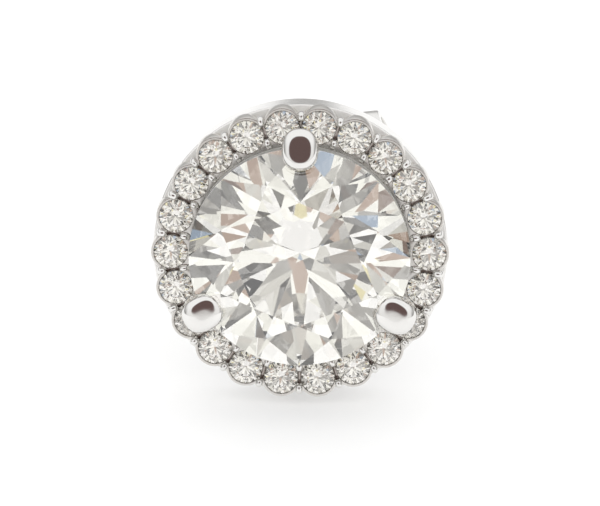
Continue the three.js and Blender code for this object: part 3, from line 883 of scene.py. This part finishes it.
class EARRING_OT_clutch(bpy.types.Operator):
    """Make the butterfly clutch: its round plate and two scrolls"""

    bl_idname = "earring.clutch"
    bl_label = "Clutch"

    def execute(self, context):
        sizes = context.scene.earring_clutch
        radius, thick, place_z, bore = in_mm(sizes, "plate_radius plate_thickness plate_place bore")
        front, back = -place_z, -place_z - thick
        rim, dish = front + 0.03, front - 0.04
        rim_inside, dish_outside, dish_inside = radius - 0.16, radius - 0.24, bore + 0.5
        hub = (bore + 0.12, front + 0.02)
        bevel = 0.07
        section = rounded([
            (bore, back), (radius, back), (radius, rim), (rim_inside, rim),
            (dish_outside, dish), (dish_inside, dish), hub, (bore, front),
        ], bevel)
        points, faces = lathe(section, 192)
        piece("clutch_plate", [(points, faces, 0)], ("clutch",), *CLUTCH_METAL, 50)
        parts = [self.scroll(sizes, bore, back, half_turn) for half_turn in (0.0, math.pi)]
        piece("clutch_scrolls", parts, ("clutch",), *CLUTCH_METAL, 40)
        return {"FINISHED"}

    def scroll(self, sizes, bore, back, half_turn):
        """A strip whose side view follows a flat root, a wide arc and a tight curl. Its two faces are that
        line and the same line set in by the strip's thickness. Its sides lie at
        x = +-(w + (reach - y) tan taper)."""
        strip, wide, tight, reach, width = in_mm(sizes, "strip scroll curl reach half_width")
        in_plate, off_bore, soft = 0.1, 0.02, 0.04
        root = back + in_plate
        out = reach - wide
        low = root - 2 * wide + tight
        curl_end = -90 - math.degrees(sizes.curl_sweep)

        def line(inset):
            """The side view's line, set in by a distance, as points (from the axis, height)."""
            flat = np.linspace(bore + off_bore, out, 8)[:-1]
            return np.concatenate([
                np.stack([flat, np.full(len(flat), root - inset)], -1),
                arc((out, root - wide), wide - inset, 90, -90, 40)[:-1],
                arc((bore + tight, low), tight - inset, -90, curl_end, 30),
            ])

        levels = []
        for across, inset in ((-1, soft), (-1, 0), (1, 0), (1, soft)):
            outer, inner = line(inset * 0.5), line(strip - inset * 0.5)
            loop = np.concatenate([outer, inner[::-1]])
            side = width + (reach - loop[:, 0]) * math.tan(sizes.taper) - (soft if inset == 0 else 0)
            levels.append(np.stack([across * side, loop[:, 0], loop[:, 1]], -1))
        middle = np.linspace(0, 1, 9)[1:-1, None, None]
        levels[2:2] = list(levels[1] + middle * (levels[2] - levels[1]))
        solid = np.stack(levels)
        count = solid.shape[1]
        body = grid_quads(len(levels), count, wrap_columns=True)
        i = np.arange(count // 2 - 1)
        cap = np.stack([i, i + 1, count - 2 - i, count - 1 - i], -1)
        last = (len(levels) - 1) * count
        points = turn(solid.reshape(-1, 3), half_turn - sizes.roll)
        return points, [body, cap, cap[:, ::-1] + last], 0


class EARRING_OT_studio(bpy.types.Operator):
    """Lay the floor, set the camera and light the earring"""

    bl_idname = "earring.studio"
    bl_label = "Studio"

    def execute(self, context):
        look = context.scene.earring_studio
        self.floor(look)
        self.camera(context, look)
        self.world(context, look)
        context.scene.view_settings.view_transform = "Standard"
        cycles = context.scene.cycles
        cycles.max_bounces = 24
        cycles.glossy_bounces = 8
        cycles.transmission_bounces = 24
        cycles.diffuse_bounces = 3
        return {"FINISHED"}

    def floor(self, look):
        """A plain round floor with a mild glow, r from 0 to half a metre."""
        radius, sides = 0.5, 64
        a = np.linspace(0, 2 * math.pi, sides, endpoint=False)
        rim = np.stack([radius * np.cos(a), radius * np.sin(a), np.zeros(sides)], -1)
        mesh = bpy.data.meshes.new("floor")
        mesh.from_pydata(rim.tolist(), [], [list(range(sides))])
        material, tree, shader = plain_material("Pale floor")
        tone = blend(tree, noise(tree, 120.0), look.floor, [0.985 * x for x in look.floor])
        fill(tree, shader, Base_Color=tone, Roughness=0.6, Emission_Color=(*WHITE, 1),
             Emission_Strength=look.glow)
        mesh.materials.append(material)
        add_object("floor", mesh)

    def camera(self, context, look):
        """Camera at the photo's angle to the earring: back = (sin a cos e, -cos a cos e, sin e)."""
        lean = math.asin(face_out[2])
        rise, aside = lean + look.above_axis, look.azimuth
        back = Vector((math.sin(aside) * math.cos(rise), -math.cos(aside) * math.cos(rise), math.sin(rise)))
        target = Vector(place([0.0, 0.0, 0.0]))
        data = bpy.data.cameras.new("camera")
        data.sensor_width = SENSOR_WIDTH
        data.lens = SENSOR_WIDTH * look.distance / look.view_width
        data.clip_start, data.clip_end = 0.005, 10
        camera = add_object("camera", data)
        camera.location = target + back * look.distance
        camera.rotation_euler = back.to_track_quat("Z", "Y").to_euler()
        context.scene.camera = camera
        self.toward_camera = back

    def world(self, context, look):
        """The light. Metal mirrors a white sky with grey walls aside and a dark patch round the camera, the
        stones pass on a broken mosaic of tones, and the camera sees plain white."""
        world = bpy.data.worlds.new("studio")
        context.scene.world = world
        world.use_nodes = True
        tree = world.node_tree
        direction = node(tree, "TexCoord").outputs["Generated"]
        facing = node(tree, "VectorMath", operation="DOT_PRODUCT", i0=direction,
                      i1=self.toward_camera).outputs["Value"]
        up = node(tree, "SeparateXYZ", i0=direction).outputs["Z"]
        height = node(tree, "MapRange", Value=up, i1=SKY_HEIGHTS[0], i2=SKY_HEIGHTS[1])
        sky = blend(tree, height.outputs[0], (0.82, 0.81, 0.80), WHITE)
        aside = smooth_range(tree, facing, *WALL_COSINES)
        low = smooth_range(tree, up, *WALL_HEIGHTS)
        dim = node(tree, "Math", operation="MULTIPLY", i0=aside, i1=low)
        walls = blend(tree, dim.outputs[0], sky, look.walls)
        patch = smooth_range(tree, facing, math.cos(look.patch_edge), math.cos(look.patch_core))
        mirrored = blend(tree, patch, walls, look.patch)

        moved = node(tree, "VectorMath", operation="ADD", i0=direction, i1=(0, 0, look.mosaic))
        cells = node(tree, "TexVoronoi", Vector=moved.outputs[0], Scale=MOSAIC_SCALE)
        pick = node(tree, "SeparateColor", i0=cells.outputs["Color"])
        tones = node(tree, "ValToRGB", i0=pick.outputs["Red"])
        ramp = tones.color_ramp
        ramp.interpolation = "CONSTANT"
        ramp.elements[0].position = MOSAIC_TONES[0][0]
        ramp.elements[1].position = MOSAIC_TONES[1][0]
        for position, _ in MOSAIC_TONES[2:]:
            ramp.elements.new(position)
        for element, (_, tone) in zip(ramp.elements, MOSAIC_TONES):
            element.color = (*tone, 1)

        ray = node(tree, "LightPath").outputs
        seen = blend(tree, ray["Is Glossy Ray"], sky, mirrored)
        both = blend(tree, ray["Is Transmission Ray"], seen, tones.outputs["Color"])
        shown = blend(tree, ray["Is Camera Ray"], both, WHITE)
        bright = node(tree, "Math", operation="MULTIPLY_ADD", i0=ray["Is Diffuse Ray"],
                      i1=look.fill, i2=look.dome)
        fill(tree, tree.nodes["Background"], Color=shown, Strength=bright.outputs[0])


class EARRING_PT_panel(bpy.types.Panel):
    """Lists the steps that build the earring"""

    bl_label = "Halo Stud Earring"
    bl_idname = "EARRING_PT_panel"
    bl_space_type = "VIEW_3D"
    bl_region_type = "UI"
    bl_category = "Earring"

    def draw(self, context):
        column = self.layout.column()
        for step in STEPS:
            column.operator(step.bl_idname)
        for group in ("earring_stones", "earring_setting", "earring_clutch", "earring_studio"):
            box = self.layout.box()
            sizes = getattr(context.scene, group)
            for name in sizes.__annotations__:
                box.prop(sizes, name)


GROUPS = {
    "earring_stones": StoneSizes,
    "earring_setting": SettingSizes,
    "earring_clutch": ClutchSizes,
    "earring_studio": StudioLook,
}
STEPS = (EARRING_OT_stones, EARRING_OT_halo, EARRING_OT_basket, EARRING_OT_clutch, EARRING_OT_studio)
CLASSES = (*GROUPS.values(), *STEPS, EARRING_PT_panel)


def register():
    for made in CLASSES:
        bpy.utils.register_class(made)
    for name, group in GROUPS.items():
        setattr(bpy.types.Scene, name, bpy.props.PointerProperty(type=group))


def unregister():
    for name in GROUPS:
        delattr(bpy.types.Scene, name)
    for made in reversed(CLASSES):
        bpy.utils.unregister_class(made)


def main():
    """Builds everything in order."""
    register()
    bpy.ops.earring.stones()
    bpy.ops.earring.halo()
    bpy.ops.earring.basket()
    bpy.ops.earring.clutch()
    bpy.ops.earring.studio()
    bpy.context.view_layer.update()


if __name__ == "__main__":
    main()
